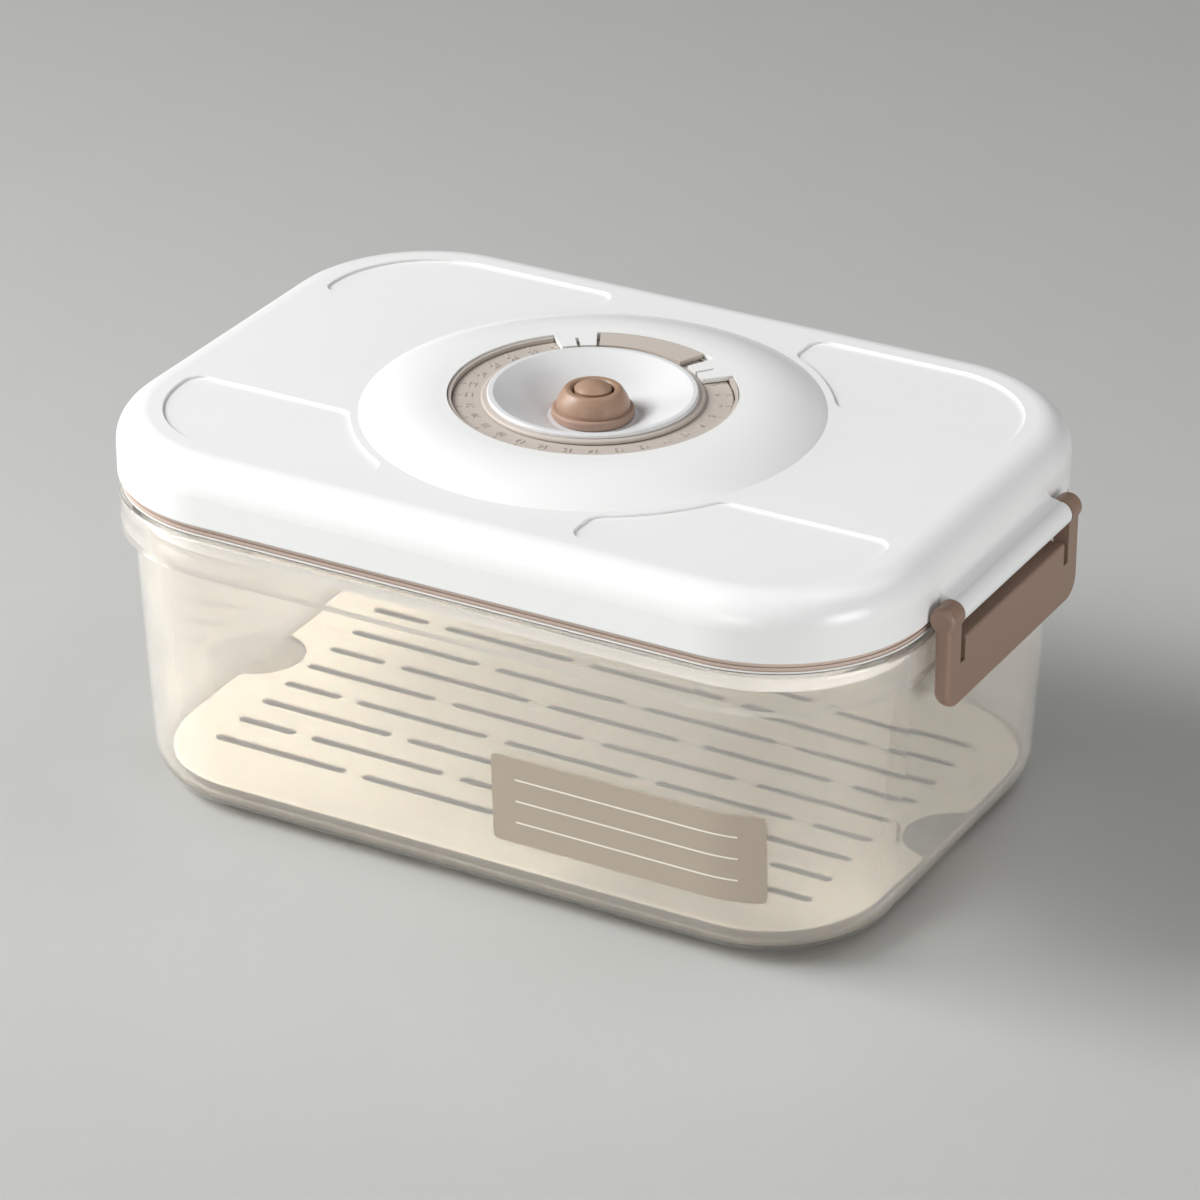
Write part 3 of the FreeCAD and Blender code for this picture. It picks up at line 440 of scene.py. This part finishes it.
def rounded_plate(name, width, height, corner, thickness):
    """A rounded outline grown upwards from Z 0."""
    plate = rounded_outline(name, width, height, corner)
    bpy.ops.object.mode_set(mode="EDIT")
    bpy.ops.mesh.select_all(action="SELECT")
    bpy.ops.mesh.extrude_region_move(
        TRANSFORM_OT_translate={"value": (0.0, 0.0, thickness)}
    )
    bpy.ops.mesh.select_all(action="SELECT")
    bpy.ops.mesh.normals_make_consistent(inside=False)
    bpy.ops.object.mode_set(mode="OBJECT")
    return plate


def set_on_ring(mark, turn, radius):
    """Puts a mark on the ring's top face, turned about the dial's axis."""
    mark.matrix_world = (
        Matrix.Rotation(turn, 4, "Z") @ Matrix.Translation((0.0, radius, ring_top))
    )
    settle(mark)


number_turn = 2.0 * math.pi / NUMBER_COUNT
marks = []
for index in range(NUMBER_COUNT):
    mark_turn = -index * number_turn
    clear_selection()
    bpy.ops.object.text_add()
    number = bpy.context.object
    number.data.body = str(index + 1)
    number.data.size = NUMBER_SIZE
    number.data.align_x = "CENTER"
    number.data.align_y = "CENTER"
    number.data.extrude = NUMBER_RAISE
    number.data.resolution_u = NUMBER_CURVE_STEPS
    bpy.ops.object.convert(target="MESH")
    number = bpy.context.object
    set_on_ring(number, mark_turn, NUMBER_RADIUS)
    tick = rounded_plate("tick", TICK_WIDTH, TICK_LENGTH, TICK_CORNER, NUMBER_RAISE)
    set_on_ring(tick, mark_turn, TICK_RADIUS)
    marks += [number, tick]
clear_selection()
for mark in marks:
    mark.select_set(True)
bpy.context.view_layer.objects.active = marks[0]
bpy.ops.object.join()
date_marks = bpy.context.object
date_marks.name = "date_marks"
marks_finish = moulded_finish(
    "dial_raised_marks", DIAL_TAUPE,
    roughness=0.38, drift=0.06, grain_size=0.0007, grain_depth=0.1,
)
date_marks.data.materials.clear()
date_marks.data.materials.append(marks_finish)
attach(date_marks, "date_ring")

# Valve: a soft pinkish-brown silicone flap under a tan plastic collar, with a
# domed button that lets the air back in. Its steel spring stands on the
# collar; a merged, smooth-shaded copy of it stands in for the spring node.
VALVE_PINK = (0.45, 0.30, 0.23, 1.0)
VALVE_TAN = (0.40, 0.255, 0.175, 1.0)
SPRING_STEEL = (0.55, 0.54, 0.52, 1.0)
COIL_MERGE = 0.000001
COIL_SMOOTH_ANGLE = math.radians(40.0)
flap_finish = moulded_finish(
    "valve_brown_silicone", VALVE_PINK,
    roughness=0.5, drift=0.08, grain_size=0.0006, grain_depth=0.12,
)
for valve_node in ("valve_flap", "valve_seal"):
    dress(valve_node, flap_finish)
collar_finish = moulded_finish(
    "valve_tan_plastic", VALVE_TAN,
    roughness=0.38, drift=0.06, grain_size=0.0007, grain_depth=0.08,
)
for collar_node in ("valve_collar", "release_button", "seal_clip"):
    dress(collar_node, collar_finish)
spring_finish = moulded_finish(
    "spring_drawn_steel", SPRING_STEEL,
    roughness=0.3, drift=0.1, grain_size=0.0003, grain_depth=0.15,
)
shader_of(spring_finish).inputs["Metallic"].default_value = 1.0
select_only(frame["nodes"]["button_spring"])
bpy.ops.object.duplicate()
spring_coil = bpy.context.object
spring_coil.name = "spring_coil"
bpy.ops.object.parent_clear(type="CLEAR_KEEP_TRANSFORM")
bpy.ops.object.mode_set(mode="EDIT")
bpy.ops.mesh.select_all(action="SELECT")
bpy.ops.mesh.remove_doubles(threshold=COIL_MERGE)
bpy.ops.object.mode_set(mode="OBJECT")
settle(spring_coil)
bpy.ops.object.shade_smooth_by_angle(angle=COIL_SMOOTH_ANGLE)
for coil_slot in spring_coil.material_slots:
    coil_slot.material = spring_finish
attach(spring_coil, "lid")
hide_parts("button_spring")
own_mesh(spring_coil)

# Latches: moulded brown satin flaps, one at each end, that swing on pegs in
# the lid's hinge bars and hook under the tub's rim band.
LATCH_BROWN = (0.29, 0.19, 0.14, 1.0)
latch_finish = moulded_finish(
    "latch_brown_plastic", LATCH_BROWN,
    roughness=0.4, drift=0.08, grain_size=0.0009, grain_depth=0.1,
)
for latch_node in ("latch_left", "latch_right"):
    dress(latch_node, latch_finish)

# Studio: a pale matt table under a large soft light from the upper left, with
# weak low lights at both sides and in front, a small one above, and an even
# grey surround. The camera stands at the photo's angle.
FLOOR_SPAN = 12.0
FLOOR_GREY = (0.505, 0.512, 0.498, 1.0)
OPEN_FAN = 180.0
LOW_FAN = 80.0
SURROUND_COLOUR = (0.9, 0.92, 0.93, 1.0)
SURROUND_STRENGTH = 0.075
VIEW_AZIMUTH = math.radians(29.15)
VIEW_ELEVATION = math.radians(27.33)
VIEW_DISTANCE = 1.5819
VIEW_AIM = Vector((0.0, 0.0, 0.05))
PHOTO_PIXELS = 1200.0
FOCAL_PIXELS = 5088.2
CENTRE_X, CENTRE_Y = 593.05, 626.0
SENSOR_WIDTH = 36.0
CLIP_END = 50.0
clear_selection()
bpy.ops.mesh.primitive_plane_add(size=FLOOR_SPAN)
floor = bpy.context.object
floor.name = "table"
settle(floor)
floor_finish = moulded_finish(
    "table_matt_grey", FLOOR_GREY,
    roughness=0.65, drift=0.03, grain_size=0.002, grain_depth=0.05,
)
floor.data.materials.append(floor_finish)


def soft_light(name, place, aim, size, power, fan):
    """A square area light of a size in metres and a power in watts."""
    lamp = bpy.data.lights.new(name, "AREA")
    lamp.shape = "SQUARE"
    lamp.size = size
    lamp.energy = power
    lamp.spread = math.radians(fan)
    holder = bpy.data.objects.new(name, lamp)
    bpy.context.scene.collection.objects.link(holder)
    holder.location = place
    turn = Vector(aim) - Vector(place)
    holder.rotation_euler = turn.to_track_quat("-Z", "Y").to_euler()


soft_light(
    "key_softbox", place=(-1.8, -0.8, 1.6), aim=(0.0, 0.0, 0.06),
    size=1.2, power=68.0, fan=OPEN_FAN,
)
soft_light(
    "left_softbox", place=(-1.0, -0.25, 0.26), aim=(0.0, 0.0, 0.05),
    size=0.4, power=0.8, fan=LOW_FAN,
)
soft_light(
    "right_softbox", place=(1.15, -0.35, 0.2), aim=(0.0, 0.0, 0.05),
    size=0.5, power=1.25, fan=LOW_FAN,
)
soft_light(
    "front_softbox", place=(0.1, -1.3, 0.3), aim=(0.0, 0.0, 0.06),
    size=0.55, power=0.64, fan=LOW_FAN,
)
soft_light(
    "top_softbox", place=(0.5, 0.35, 1.2), aim=(0.05, 0.05, 0.1),
    size=0.8, power=3.9, fan=OPEN_FAN,
)

surround = bpy.data.worlds.new("grey_surround")
bpy.context.scene.world = surround
surround.use_nodes = True
backdrop = surround.node_tree.nodes["Background"]
backdrop.inputs["Color"].default_value = SURROUND_COLOUR
backdrop.inputs["Strength"].default_value = SURROUND_STRENGTH

back = Vector((
    math.sin(VIEW_AZIMUTH) * math.cos(VIEW_ELEVATION),
    -math.cos(VIEW_AZIMUTH) * math.cos(VIEW_ELEVATION),
    math.sin(VIEW_ELEVATION),
))
camera_data = bpy.data.cameras.new("product_camera")
camera_data.sensor_width = SENSOR_WIDTH
camera_data.lens = SENSOR_WIDTH * FOCAL_PIXELS / PHOTO_PIXELS
camera_data.shift_x = (PHOTO_PIXELS / 2.0 - CENTRE_X) / PHOTO_PIXELS
camera_data.shift_y = (CENTRE_Y - PHOTO_PIXELS / 2.0) / PHOTO_PIXELS
camera_data.clip_end = CLIP_END
camera = bpy.data.objects.new("product_camera", camera_data)
bpy.context.scene.collection.objects.link(camera)
camera.location = VIEW_AIM + back * VIEW_DISTANCE
camera.rotation_euler = back.to_track_quat("Z", "Y").to_euler()
bpy.context.scene.camera = camera
bpy.context.scene.view_settings.view_transform = "Standard"
